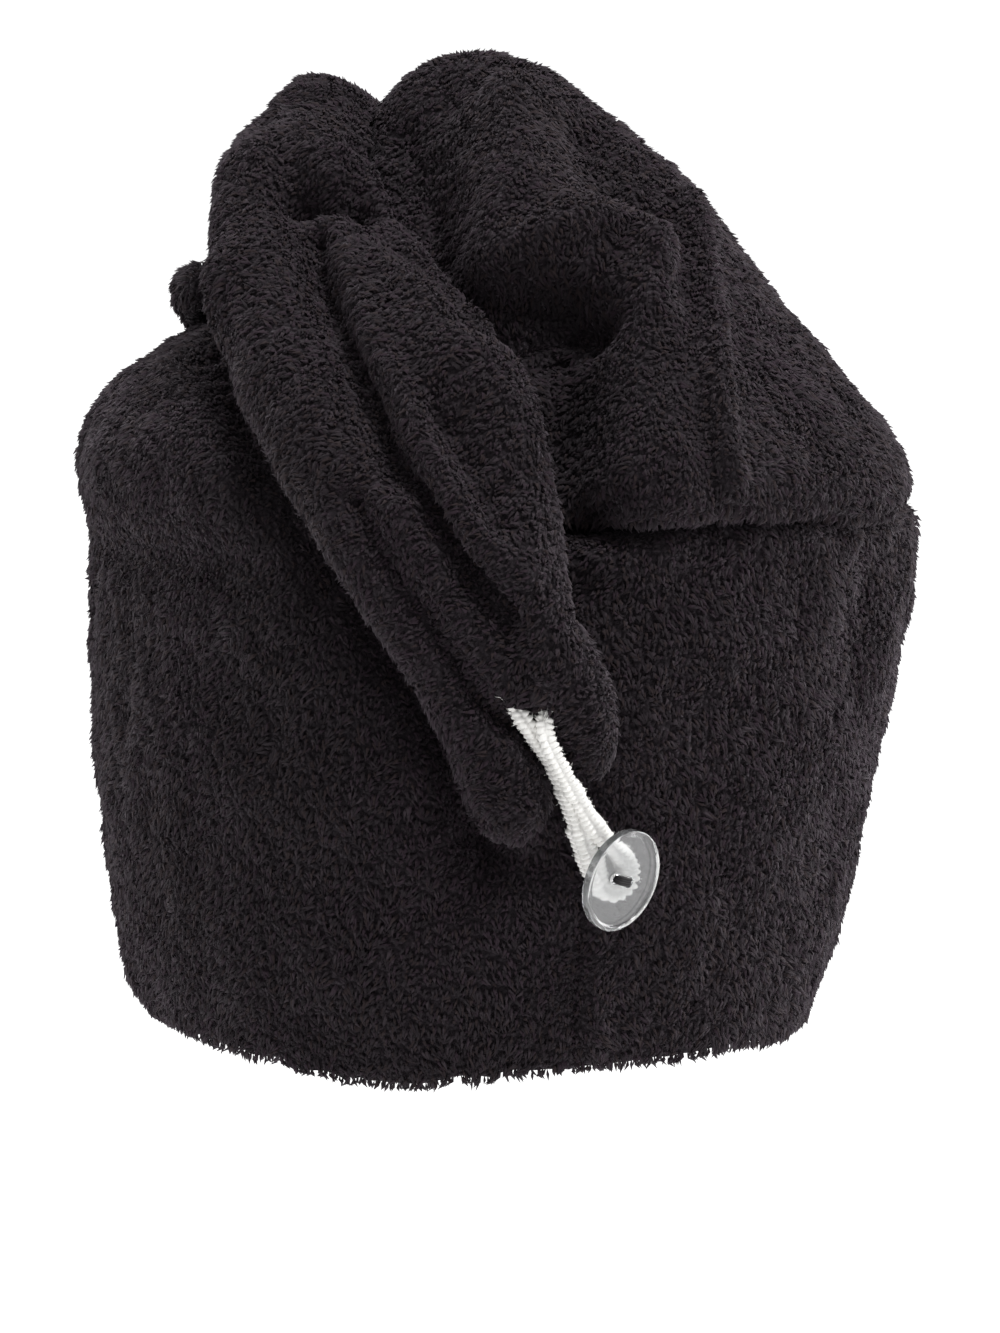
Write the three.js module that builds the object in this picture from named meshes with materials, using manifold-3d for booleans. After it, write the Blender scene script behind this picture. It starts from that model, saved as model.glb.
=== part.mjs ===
// A hair turban towel of terry cloth, worn: hood, fold over the crown, twisted tail,
// elastic loop and clear button. Millimetres, +Z up, the face looks along -Y, +X is the
// wearer's left. The origin is on the head's axis at the height of the hem over the ears.
import * as THREE from 'three';
import { mergeVertices } from 'three/addons/utils/BufferGeometryUtils.js';
import Module from 'manifold-3d';

const wasm = await Module();
wasm.setup();

// Driving dimensions of the cloth
const hoodWidth = 176;
const hoodDepth = 196;
const hoodHeight = 162;
const clothWall = 3;
const napeDrop = 7.5;
const foreheadRise = 60;
const ringExponent = 2.15;
const pieceGap = 0.35;

// The fold over the crown stands on the hood: its lower edge is above the hem
const foldWidth = 130;
const foldDepth = 178;
const foldBase = 111;
const foldHeight = 102;
const foldAxisSide = -1;
const foldAxisBack = 8;

// The mouth in the crown through which the hair goes up into the fold
const mouthWidth = 56;
const mouthLength = 64;
const mouthSide = -6;
const mouthBack = -22;

const tailWidth = 30;
const tailThickness = 28;
const tuckWidth = 9.5;

// Driving dimensions of the fastening
const elasticDiameter = 3.1;
const buttonDiameter = 22.5;
const buttonThickness = 1.8;
const buttonRimWidth = 2;
const buttonDish = 0.5;
const buttonEdgeRound = 0.5;
const holeDiameter = 2.4;
const holeSpacing = 4.2;
const threadDiameter = 1.7;
const legDiameter = 1.45;
const shankDiameter = 2.4;
const shankLength = 9;

// How finely the surfaces are faceted
const hoodColumns = 42;
const hoodRings = 22;
const foldColumns = 36;
const foldRings = 20;
const liningColumns = 32;
const liningRings = 14;
const rollSides = 12;
const rollSteps = 24;
const elasticSides = 8;
const elasticSteps = 54;
const roundSides = 36;
const smallSides = 8;

// The hem's line, a row for every 30 degrees from the back round by the wearer's right.
// Drop is a share of the nape's drop, rise is a share of the forehead's rise.
const hemLine = [
  { drop: 0.60, rise: 0.00 },
  { drop: 0.35, rise: 0.00 },
  { drop: 0.35, rise: 0.00 },
  { drop: 0.40, rise: 0.00 },
  { drop: 0.00, rise: 0.25 },
  { drop: 0.00, rise: 0.78 },
  { drop: 0.00, rise: 1.00 },
  { drop: 0.00, rise: 0.80 },
  { drop: 0.00, rise: 0.32 },
  { drop: 0.00, rise: 0.04 },
  { drop: 0.42, rise: 0.00 },
  { drop: 1.15, rise: 0.00 },
  { drop: 0.60, rise: 0.00 },
];

// Hood sections from hem to crown. Height is a share of the hood's height, the other
// columns are shares of half its width or half its depth.
const hoodSections = [
  { height: 0.00, left: 0.850, right: 0.825, back: 0.84, front: 0.86 },
  { height: 0.08, left: 0.895, right: 0.890, back: 0.89, front: 0.89 },
  { height: 0.18, left: 0.910, right: 0.945, back: 0.93, front: 0.92 },
  { height: 0.32, left: 0.945, right: 0.990, back: 0.97, front: 0.94 },
  { height: 0.46, left: 0.945, right: 1.055, back: 1.00, front: 0.95 },
  { height: 0.58, left: 0.955, right: 1.110, back: 0.99, front: 0.95 },
  { height: 0.66, left: 0.962, right: 1.090, back: 0.96, front: 0.94 },
  { height: 0.72, left: 0.975, right: 1.010, back: 0.93, front: 0.91 },
  { height: 0.79, left: 0.965, right: 0.900, back: 0.86, front: 0.85 },
  { height: 0.86, left: 0.880, right: 0.780, back: 0.76, front: 0.74 },
  { height: 0.93, left: 0.700, right: 0.600, back: 0.58, front: 0.56 },
  { height: 0.98, left: 0.400, right: 0.350, back: 0.34, front: 0.33 },
  { height: 1.00, left: 0.000, right: 0.000, back: 0.00, front: 0.00 },
];

// Sections of the fold over the crown, from its hidden underside round the rolled lower
// edge to its top. Height is a share of its height, the rest of its width and depth.
const foldSections = [
  { height: 0.14, left: 0.00, right: 0.00, back: 0.00, front: 0.00 },
  { height: 0.08, left: 0.12, right: 0.38, back: 0.26, front: 0.24 },
  { height: 0.00, left: 0.19, right: 0.64, back: 0.46, front: 0.44 },
  { height: 0.04, left: 0.21, right: 0.72, back: 0.53, front: 0.49 },
  { height: 0.14, left: 0.24, right: 0.71, back: 0.54, front: 0.49 },
  { height: 0.27, left: 0.27, right: 0.62, back: 0.50, front: 0.47 },
  { height: 0.41, left: 0.26, right: 0.53, back: 0.43, front: 0.44 },
  { height: 0.56, left: 0.255, right: 0.435, back: 0.36, front: 0.39 },
  { height: 0.72, left: 0.22, right: 0.340, back: 0.28, front: 0.33 },
  { height: 0.86, left: 0.17, right: 0.205, back: 0.19, front: 0.24 },
  { height: 0.96, left: 0.105, right: 0.100, back: 0.10, front: 0.13 },
  { height: 1.00, left: 0.00, right: 0.00, back: 0.00, front: 0.00 },
];

// Creases and ridges: a line from one place to another, where turn is degrees round
// from the back toward the wearer's right and row is the share of the table's length.
// Width is half the width and rise is out of the surface, as shares of the cloth's wall.
const hoodFolds = [
  { turn: -60, row: 0.47, toTurn: -110, toRow: 0.45, width: 3, rise: -0.35 },
  { turn: -50, row: 0.62, toTurn: -110, toRow: 0.57, width: 3.4, rise: 0.4 },
];
const foldFolds = [
  { turn: -4, row: 0.52, toTurn: 4, toRow: 0.54, width: 4.4, rise: -3.6 },
  { turn: -18, row: 0.60, toTurn: 0, toRow: 0.68, width: 3.0, rise: 0.9 },
  { turn: 0, row: 0.68, toTurn: 14, toRow: 0.60, width: 3.0, rise: 1.1 },
  { turn: 14, row: 0.60, toTurn: 14, toRow: 0.48, width: 3.0, rise: 0.9 },
  { turn: -16, row: 0.78, toTurn: -19, toRow: 0.62, width: 4.2, rise: -1.2 },
  { turn: -32, row: 0.66, toTurn: -3, toRow: 0.40, width: 3.4, rise: -1.6 },
];

// The three rolls of the tail, from the front of the crown over the top and down the
// back. Left, back and height are shares of half the hood's width, half its depth and
// its height; width and thickness are shares of the tail's.
const tailRolls = [
  [
    { left: 0.160, back: -0.880, height: 0.620, width: 0.40, thickness: 0.40 },
    { left: 0.300, back: -0.780, height: 0.920, width: 0.70, thickness: 0.70 },
    { left: 0.384, back: -0.485, height: 1.093, width: 0.76, thickness: 0.89 },
    { left: 0.428, back: -0.168, height: 1.151, width: 0.82, thickness: 1.02 },
    { left: 0.591, back: 0.199, height: 1.049, width: 0.79, thickness: 1.00 },
    { left: 0.609, back: 0.573, height: 0.890, width: 0.88, thickness: 0.85 },
    { left: 0.563, back: 0.854, height: 0.750, width: 0.78, thickness: 0.79 },
    { left: 0.451, back: 0.966, height: 0.620, width: 0.70, thickness: 0.68 },
    { left: 0.308, back: 1.030, height: 0.490, width: 0.67, thickness: 0.59 },
    { left: 0.229, back: 1.034, height: 0.381, width: 0.63, thickness: 0.56 },
    { left: 0.171, back: 0.999, height: 0.279, width: 0.51, thickness: 0.45 },
  ],
  [
    { left: 0.040, back: -0.900, height: 0.620, width: 0.40, thickness: 0.40 },
    { left: 0.100, back: -0.840, height: 0.920, width: 0.70, thickness: 0.70 },
    { left: 0.200, back: -0.500, height: 1.140, width: 0.80, thickness: 0.90 },
    { left: 0.356, back: -0.151, height: 1.217, width: 0.84, thickness: 0.92 },
    { left: 0.412, back: 0.288, height: 1.049, width: 0.54, thickness: 0.84 },
    { left: 0.424, back: 0.650, height: 0.920, width: 0.51, thickness: 0.82 },
    { left: 0.392, back: 0.910, height: 0.790, width: 0.49, thickness: 0.77 },
    { left: 0.304, back: 1.033, height: 0.680, width: 0.51, thickness: 0.77 },
    { left: 0.171, back: 1.088, height: 0.570, width: 0.52, thickness: 0.74 },
    { left: 0.062, back: 1.092, height: 0.468, width: 0.55, thickness: 0.56 },
    { left: -0.014, back: 1.049, height: 0.357, width: 0.31, thickness: 0.39 },
  ],
  [
    { left: -0.080, back: -0.880, height: 0.620, width: 0.40, thickness: 0.40 },
    { left: -0.100, back: -0.800, height: 0.920, width: 0.65, thickness: 0.70 },
    { left: 0.075, back: -0.574, height: 1.139, width: 0.75, thickness: 0.90 },
    { left: 0.322, back: -0.144, height: 1.195, width: 0.75, thickness: 0.92 },
    { left: 0.345, back: 0.389, height: 1.028, width: 0.64, thickness: 0.97 },
    { left: 0.255, back: 0.808, height: 0.900, width: 0.73, thickness: 0.87 },
    { left: 0.187, back: 0.934, height: 0.789, width: 0.69, thickness: 0.78 },
    { left: 0.171, back: 1.021, height: 0.680, width: 0.55, thickness: 0.74 },
    { left: 0.162, back: 1.051, height: 0.559, width: 0.56, thickness: 0.64 },
    { left: 0.118, back: 1.038, height: 0.450, width: 0.42, thickness: 0.45 },
  ],
];

// The pinched roll on the left of the crown
const tuckRoll = [
  { left: 0.50, back: -0.60, height: 0.88, width: 0.70, thickness: 0.80 },
  { left: 0.62, back: -0.40, height: 0.97, width: 0.90, thickness: 0.90 },
  { left: 0.65, back: -0.16, height: 1.00, width: 1.34, thickness: 1.15 },
];

// Route of the elastic, chosen by hand: out of the tail, round the shank and back. Left,
// back and height are shares of half the hood's width, half its depth and its height.
const elasticRoute = [
  { left: 0.2299, back: 1.0275, height: 0.4893 },
  { left: 0.2231, back: 1.0964, height: 0.4673 },
  { left: 0.1959, back: 1.1134, height: 0.4416 },
  { left: 0.1540, back: 1.0982, height: 0.4143 },
  { left: 0.1169, back: 1.0828, height: 0.3869 },
  { left: 0.0851, back: 1.0688, height: 0.3557 },
  { left: 0.0584, back: 1.0473, height: 0.3240 },
  { left: 0.0339, back: 1.0250, height: 0.2936 },
  { left: 0.0091, back: 1.0020, height: 0.2617 },
  { left: -0.0113, back: 0.9849, height: 0.2327 },
  { left: -0.0391, back: 0.9767, height: 0.2067 },
  { left: -0.0788, back: 0.9709, height: 0.1939 },
  { left: -0.1218, back: 0.9630, height: 0.1955 },
  { left: -0.1475, back: 0.9617, height: 0.2136 },
  { left: -0.1474, back: 0.9696, height: 0.2366 },
  { left: -0.1147, back: 0.9927, height: 0.2609 },
  { left: -0.0649, back: 1.0147, height: 0.2773 },
  { left: -0.0270, back: 1.0310, height: 0.2958 },
  { left: 0.0018, back: 1.0507, height: 0.3209 },
  { left: 0.0311, back: 1.0724, height: 0.3460 },
  { left: 0.0662, back: 1.0966, height: 0.3739 },
  { left: 0.1012, back: 1.1210, height: 0.4004 },
  { left: 0.1284, back: 1.1285, height: 0.4246 },
  { left: 0.1396, back: 1.1080, height: 0.4499 },
  { left: 0.1360, back: 1.0634, height: 0.4754 },
];

// A place on the worn hood, from shares of half its width, half its depth and its height
function onHood(share) {
  return new THREE.Vector3(share.left * hoodWidth / 2, share.back * hoodDepth / 2,
    share.height * hoodHeight);
}

// Where the thread leaves the cloth, the middle of the button's back above it, the way
// the button's face looks and the way its two holes lie
const shankFoot = onHood({ left: -0.063, back: 0.953, height: 0.229 });
const buttonPlace = shankFoot.clone().add(new THREE.Vector3(0, shankLength, 0));
const buttonFace = new THREE.Vector3(-0.528, 0.81, -0.256).normalize();
const holeLine = new THREE.Vector3(-1.29, -0.96, -0.36);

const degrees = Math.PI / 180;
const fullTurn = 2 * Math.PI;
const weldDistance = 1e-5;

// A closed mesh as a solid for cutting, and the way back
function toSolid(geometry) {
  const bare = geometry.clone();
  bare.deleteAttribute('normal');
  bare.deleteAttribute('uv');
  const merged = mergeVertices(bare, weldDistance);
  const vertProperties = new Float32Array(merged.attributes.position.array);
  const triVerts = new Uint32Array(merged.index.array);
  return new wasm.Manifold(new wasm.Mesh({ numProp: 3, vertProperties, triVerts }));
}

function toGeometry(solid) {
  const mesh = solid.getMesh();
  const geometry = new THREE.BufferGeometry();
  geometry.setAttribute('position', new THREE.BufferAttribute(mesh.vertProperties, 3));
  geometry.setIndex(new THREE.BufferAttribute(mesh.triVerts, 1));
  geometry.computeVertexNormals();
  return geometry;
}

// A table read smoothly at a share of its length, by cubic steps between its rows
function readTable(table, share) {
  const place = Math.min(share, 1) * (table.length - 1);
  const first = Math.min(Math.floor(place), table.length - 2);
  const part = place - first;
  const rows = [first - 1, first, first + 1, first + 2].map(
    (index) => table[Math.min(Math.max(index, 0), table.length - 1)]);
  const result = {};
  for (const key of Object.keys(table[0])) {
    const [a, b, c, d] = rows.map((row) => row[key]);
    const slopeB = (c - a) / 2;
    const slopeC = (d - b) / 2;
    const square = part * part;
    const cube = square * part;
    result[key] = b * (2 * cube - 3 * square + 1) + slopeB * (cube - 2 * square + part)
      + c * (3 * square - 2 * cube) + slopeC * (cube - square);
  }
  return result;
}

// A closed surface from rings of points that start and end in a single point each
function skin(rings) {
  const columns = rings[1].length;
  const positions = [rings[0][0]];
  for (const ring of rings.slice(1, -1)) {
    positions.push(...ring);
  }
  positions.push(rings[rings.length - 1][0]);
  const index = [];
  const at = (ring, column) => 1 + ring * columns + (column % columns);
  const last = positions.length - 1;
  const middle = rings.length - 2;
  for (let column = 0; column < columns; column++) {
    index.push(0, at(0, column + 1), at(0, column));
    index.push(last, at(middle - 1, column), at(middle - 1, column + 1));
    for (let ring = 0; ring < middle - 1; ring++) {
      index.push(at(ring, column), at(ring, column + 1), at(ring + 1, column));
      index.push(at(ring + 1, column), at(ring, column + 1), at(ring + 1, column + 1));
    }
  }
  const geometry = new THREE.BufferGeometry();
  geometry.setFromPoints(positions);
  geometry.setIndex(index);
  return geometry;
}

// The same surface moved along its normals, outward when the distance is positive
function moved(geometry, distance) {
  const copy = geometry.clone();
  copy.computeVertexNormals();
  const points = copy.attributes.position;
  const normals = copy.attributes.normal;
  for (let i = 0; i < points.count; i++) {
    points.setXYZ(i, points.getX(i) + normals.getX(i) * distance,
      points.getY(i) + normals.getY(i) * distance,
      points.getZ(i) + normals.getZ(i) * distance);
  }
  return copy;
}

// How far the creases and ridges push the surface out at one place
function relief(folds, turn, row, size) {
  let sum = 0;
  for (const fold of folds) {
    const along = new THREE.Vector2((fold.toTurn - fold.turn) * degrees * size.round,
      (fold.toRow - fold.row) * size.up);
    const here = new THREE.Vector2((turn - fold.turn) * degrees * size.round,
      (row - fold.row) * size.up);
    const share = THREE.MathUtils.clamp(here.dot(along) / along.lengthSq(), 0, 1);
    const distance = here.sub(along.multiplyScalar(share)).length();
    sum += fold.rise * clothWall * Math.exp(-((distance / fold.width / clothWall) ** 2));
  }
  return sum;
}

// One ring point: quarter ovals with their own reach to the left, right, back and front.
// The turn starts at the back and goes round by the wearer's right.
function ovalPoint(section, halfWidth, halfDepth, turn) {
  const power = 2 / ringExponent;
  const side = -Math.sin(turn);
  const rear = Math.cos(turn);
  const reachSide = (side > 0 ? section.left : section.right) * halfWidth;
  const reachRear = (rear > 0 ? section.back : section.front) * halfDepth;
  return new THREE.Vector3(
    Math.sign(side) * Math.abs(side) ** power * reachSide,
    Math.sign(rear) * Math.abs(rear) ** power * reachRear,
    0);
}

// A bag of cloth lofted through a table of sections, then creased
function clothBag(table, folds, shape) {
  const rings = [];
  for (let ring = 0; ring <= shape.rings; ring++) {
    const section = readTable(table, ring / shape.rings);
    const points = [];
    for (let column = 0; column < shape.columns; column++) {
      const turn = (column / shape.columns) * fullTurn;
      const point = ovalPoint(section, shape.halfWidth, shape.halfDepth, turn);
      point.x += shape.axisSide;
      point.y += shape.axisBack;
      point.z = shape.heightAt(section.height, turn);
      points.push(point);
    }
    rings.push(points);
  }
  const below = [];
  if (shape.skirt) {
    below.push(rings[0].map((point, column) => point.clone()
      .addScaledVector(new THREE.Vector3().subVectors(point, rings[1][column])
        .normalize(), shape.skirt)));
  }
  if (shape.floor) {
    below.unshift([shape.floor]);
  }
  const geometry = skin([...below, ...rings]);
  const size = { round: shape.reachRound, up: shape.height };
  geometry.computeVertexNormals();
  const points = geometry.attributes.position;
  const normals = geometry.attributes.normal;
  for (let i = 1; i < points.count - 1; i++) {
    const ring = Math.floor((i - 1) / shape.columns) + 1 - below.length;
    const turn = (((i - 1) % shape.columns) / shape.columns) * 360;
    const signedTurn = turn > 180 ? turn - 360 : turn;
    const rise = relief(folds, signedTurn, ring / shape.rings, size);
    points.setXYZ(i, points.getX(i) + normals.getX(i) * rise,
      points.getY(i) + normals.getY(i) * rise,
      points.getZ(i) + normals.getZ(i) * rise);
  }
  return geometry;
}

// The hem is lower at the nape and higher at the forehead than over the ears
function hemHeight(turn) {
  const row = readTable(hemLine, turn / fullTurn);
  return row.rise * foreheadRise - row.drop * napeDrop;
}

function hoodSurface(columns = hoodColumns, rings = hoodRings, skirt = 0) {
  return clothBag(hoodSections, hoodFolds, {
    rings,
    columns,
    halfWidth: hoodWidth / 2,
    halfDepth: hoodDepth / 2,
    height: hoodHeight,
    reachRound: hoodDepth / 2,
    skirt,
    axisSide: 0,
    axisBack: 0,
    heightAt: (share, turn) => hemHeight(turn) + share * (hoodHeight - hemHeight(turn)),
    floor: new THREE.Vector3(0, 0, -skirt),
  });
}

function foldSurface(columns = foldColumns, rings = foldRings) {
  return clothBag(foldSections, foldFolds, {
    rings,
    columns,
    halfWidth: foldWidth,
    halfDepth: foldDepth,
    height: foldHeight,
    reachRound: foldDepth / 2,
    axisSide: foldAxisSide,
    axisBack: foldAxisBack,
    heightAt: (share) => foldBase + share * foldHeight,
  });
}

// A soft roll of cloth along a table of places, rounded at both ends
function clothRoll(table, width, thickness) {
  const places = table.map(onHood);
  const route = new THREE.CatmullRomCurve3(places, false, 'catmullrom', 0.5);
  const rings = [];
  for (let step = 0; step <= rollSteps; step++) {
    const share = 0.5 - 0.5 * Math.cos(Math.PI * step / rollSteps);
    const row = readTable(table, share);
    const point = route.getPoint(share);
    const along = route.getTangent(share);
    const out = new THREE.Vector3(point.x, point.y, point.z - hoodHeight / 2).normalize();
    out.addScaledVector(along, -out.dot(along)).normalize();
    const across = new THREE.Vector3().crossVectors(out, along);
    const fromEnd = Math.min(share, 1 - share) * route.getLength() / (width / 2);
    const full = Math.sqrt(1 - (1 - Math.min(fromEnd, 1)) ** 2);
    const ring = [];
    for (let side = 0; side < rollSides; side++) {
      const turn = (side / rollSides) * 2 * Math.PI;
      ring.push(point.clone()
        .addScaledVector(across, Math.cos(turn) * row.width * width / 2 * full)
        .addScaledVector(out, Math.sin(turn) * row.thickness * thickness / 2 * full));
    }
    rings.push(ring);
  }
  return toSolid(skin(rings));
}

// A closed mesh moved outward by the gap that neighbouring pieces keep
function withGap(surface) {
  return toSolid(moved(surface, pieceGap));
}

// An upright solid of oval plan
function ovalColumn(width, length, height) {
  const column = new THREE.CylinderGeometry(0.5, 0.5, height, roundSides);
  column.rotateX(Math.PI / 2);
  column.scale(width, length, 1);
  return column;
}

// The room for the head: the hood's surface taken in by the cloth and let down below the
// hem, so that the hem is an open edge
function headRoom() {
  return toSolid(moved(hoodSurface(liningColumns, liningRings, 3 * clothWall), -clothWall));
}

function makeHood() {
  const mouth = ovalColumn(mouthWidth, mouthLength, hoodHeight);
  mouth.translate(mouthSide, mouthBack, hoodHeight);
  return toSolid(hoodSurface()).subtract(headRoom()).subtract(toSolid(mouth));
}

function makeFold() {
  const room = toSolid(moved(foldSurface(liningColumns, foldRings), -clothWall));
  return toSolid(foldSurface()).subtract(room).subtract(withGap(hoodSurface()));
}

// The elastic as a closed tube along its route
function makeElastic() {
  const section = new THREE.Shape();
  section.absarc(0, 0, elasticDiameter / 2, 0, fullTurn);
  const route = new THREE.CatmullRomCurve3(elasticRoute.map(onHood));
  const geometry = new THREE.ExtrudeGeometry(section, {
    steps: elasticSteps,
    curveSegments: elasticSides / 2,
    extrudePath: route,
    bevelEnabled: false,
  });
  return toSolid(geometry);
}

function makeTail() {
  const [first, ...others] = tailRolls.map(
    (table) => clothRoll(table, tailWidth, tailThickness));
  const rope = others.reduce((sum, roll) => sum.add(roll), first);
  return rope.subtract(withGap(hoodSurface())).subtract(withGap(foldSurface()))
    .subtract(withGap(toGeometry(makeElastic())));
}

function makeTuck() {
  const roll = clothRoll(tuckRoll, tuckWidth, tuckWidth);
  const beside = tailRolls.map((table) => clothRoll(table, tailWidth + 2 * pieceGap,
    tailThickness + 2 * pieceGap));
  return beside.reduce((rest, other) => rest.subtract(other),
    roll.subtract(withGap(hoodSurface())));
}

// A round bar between two places
function bar(from, to, diameter, sides) {
  const length = from.distanceTo(to);
  const geometry = new THREE.CylinderGeometry(diameter / 2, diameter / 2, length, sides);
  const along = new THREE.Vector3().subVectors(to, from).normalize();
  geometry.applyQuaternion(new THREE.Quaternion().setFromUnitVectors(
    new THREE.Vector3(0, 1, 0), along));
  geometry.translate((from.x + to.x) / 2, (from.y + to.y) / 2, (from.z + to.z) / 2);
  return toSolid(geometry);
}

// Places on the button: how far along the line of its holes and how far out of its back
const acrossHoles = holeLine.clone().addScaledVector(buttonFace, -holeLine.dot(buttonFace))
  .normalize();
function onButton(along, out) {
  return buttonPlace.clone().addScaledVector(acrossHoles, along)
    .addScaledVector(buttonFace, out);
}

// A disc with a raised rim, rounded edges and two holes
function makeButton() {
  const radius = buttonDiameter / 2;
  const innerRadius = radius - buttonRimWidth;
  const floor = buttonThickness - buttonDish;
  const outline = [
    [0, 0], [radius - buttonEdgeRound, 0], [radius, buttonEdgeRound],
    [radius, buttonThickness - buttonEdgeRound],
    [radius - buttonEdgeRound, buttonThickness], [innerRadius, buttonThickness],
    [innerRadius - buttonDish, floor], [0, floor],
  ].map(([x, y]) => new THREE.Vector2(x, y));
  const disc = new THREE.LatheGeometry(outline, roundSides);
  disc.applyQuaternion(new THREE.Quaternion().setFromUnitVectors(
    new THREE.Vector3(0, 1, 0), buttonFace));
  disc.translate(buttonPlace.x, buttonPlace.y, buttonPlace.z);
  let button = toSolid(disc);
  for (const side of [-1, 1]) {
    const along = side * holeSpacing / 2;
    button = button.subtract(bar(onButton(along, -buttonThickness),
      onButton(along, 2 * buttonThickness), holeDiameter, smallSides));
  }
  return button;
}

// The thread: a stitch over the face, two legs through the holes, a tie behind them and
// a shank to the cloth
function makeThread() {
  const reach = holeSpacing / 2;
  const end = reach + threadDiameter / 2;
  const above = buttonThickness - buttonDish + pieceGap + threadDiameter / 2;
  const below = -pieceGap - threadDiameter / 2;
  const straps = [above, below].map((out) => bar(onButton(-end, out), onButton(end, out),
    threadDiameter, smallSides));
  const legs = [-reach, reach].map((along) => bar(onButton(along, below),
    onButton(along, above), legDiameter, smallSides));
  const shank = bar(shankFoot, onButton(0, below), shankDiameter, smallSides);
  const thread = [...straps, ...legs].reduce((sum, piece) => sum.add(piece), shank);
  return thread.subtract(withGap(hoodSurface()));
}

// Looks of the materials
const terry = { color: 0x2b2629, roughness: 1, metalness: 0 };
const elastic = { color: 0xece9e4, roughness: 0.9, metalness: 0 };
const clearPlastic = { color: 0xdfe3e4, roughness: 0.12, metalness: 0 };
const blackThread = { color: 0x141214, roughness: 0.8, metalness: 0 };

function named(name, solid, look) {
  const mesh = new THREE.Mesh(toGeometry(solid), new THREE.MeshStandardMaterial(look));
  mesh.name = name;
  return mesh;
}

const turban = new THREE.Group();
turban.add(named('hood', makeHood(), terry));
turban.add(named('crown_fold', makeFold(), terry));
turban.add(named('twisted_tail', makeTail(), terry));
turban.add(named('side_tuck', makeTuck(), terry));
turban.add(named('elastic_loop', makeElastic(), elastic));
turban.add(named('button', makeButton(), clearPlastic));
turban.add(named('button_thread', makeThread(), blackThread));

export default turban;
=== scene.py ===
# A worn hair turban of plush terry: hood, fold over the crown, twisted tail, elastic loop
# and clear button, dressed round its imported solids. Metres, +Z up, its front looks along -Y.
import math

import bmesh
import bpy
import numpy as np
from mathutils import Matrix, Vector
from mathutils.bvhtree import BVHTree
from mathutils.kdtree import KDTree


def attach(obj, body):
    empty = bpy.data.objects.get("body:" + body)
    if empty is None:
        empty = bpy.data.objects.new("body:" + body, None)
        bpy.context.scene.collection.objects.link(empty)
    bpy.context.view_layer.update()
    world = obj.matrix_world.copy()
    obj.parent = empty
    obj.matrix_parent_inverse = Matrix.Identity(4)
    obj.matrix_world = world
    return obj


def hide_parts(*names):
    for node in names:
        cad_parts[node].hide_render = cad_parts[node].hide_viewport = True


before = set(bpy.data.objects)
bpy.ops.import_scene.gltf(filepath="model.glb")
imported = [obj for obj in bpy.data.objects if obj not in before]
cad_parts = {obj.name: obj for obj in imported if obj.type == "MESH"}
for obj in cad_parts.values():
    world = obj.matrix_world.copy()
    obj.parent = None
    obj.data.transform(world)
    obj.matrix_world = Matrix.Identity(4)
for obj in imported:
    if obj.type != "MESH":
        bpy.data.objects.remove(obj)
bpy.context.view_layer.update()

MM = 0.001
STUDIO_LIGHT = 0.36

# The camera stands behind the turban, a little to its left and above
CAMERA_AZIMUTH = math.radians(165)
CAMERA_ELEVATION = math.radians(4)
CAMERA_DISTANCE = 1.8
CAMERA_LENS = 216.3
CAMERA_TARGET = Vector((-6.5, 1.75, 75.6)) * MM
PICTURE_WIDTH = 1000
PICTURE_HEIGHT = 1333
# Picture units in a metre at the target
PICTURE_SCALE = 4450

# Lamps round the turban: across the picture, up and toward the camera from the camera's
# target, and their sides, in metres, and their power in watts
LAMPS = [
    {"name": "key_lamp", "across": 0.95, "up": 2.0, "nearer": 1.4, "size": 0.6, "power": 46},
    {"name": "top_lamp", "across": -0.3, "up": 2.2, "nearer": -0.3, "size": 1.0, "power": 23},
    {"name": "fill_lamp", "across": -1.8, "up": 0.5, "nearer": 1.2, "size": 1.2, "power": 4.6},
    {"name": "left_rim_lamp", "across": -2.0, "up": 0.5, "nearer": -1.0, "size": 1.2, "power": 18},
    {"name": "right_rim_lamp", "across": 2.0, "up": 0.3, "nearer": -0.7, "size": 1.2, "power": 31},
]

# Cloth under the pile: the remesh's grain, the depth in which both faces of a wall move
# together, and how the edge of the hood is let down
CLOTH_VOXEL = 1.9 * MM
CLOTH_SMOOTHING = 10
WALL_REACH = 9 * MM
NARROW_FOLD = 6
PILE_DEPTH = 0.5 * MM
HEM_DROP = 2.2 * MM
HEM_REACH = 16 * MM
HEM_PARTS = 72
CLOTH_NODES = {
    "hood": "hood_cloth",
    "crown_fold": "crown_fold_cloth",
    "twisted_tail": "tail_cloth",
    "side_tuck": "side_tuck_cloth",
}
# The middle that each cloth piece bulges away from
CLOTH_CORES = {
    "hood": (0, 0, 70),
    "crown_fold": (-8, 20, 140),
    "twisted_tail": (4, 30, 100),
    "side_tuck": (40, -30, 140),
}

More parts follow.
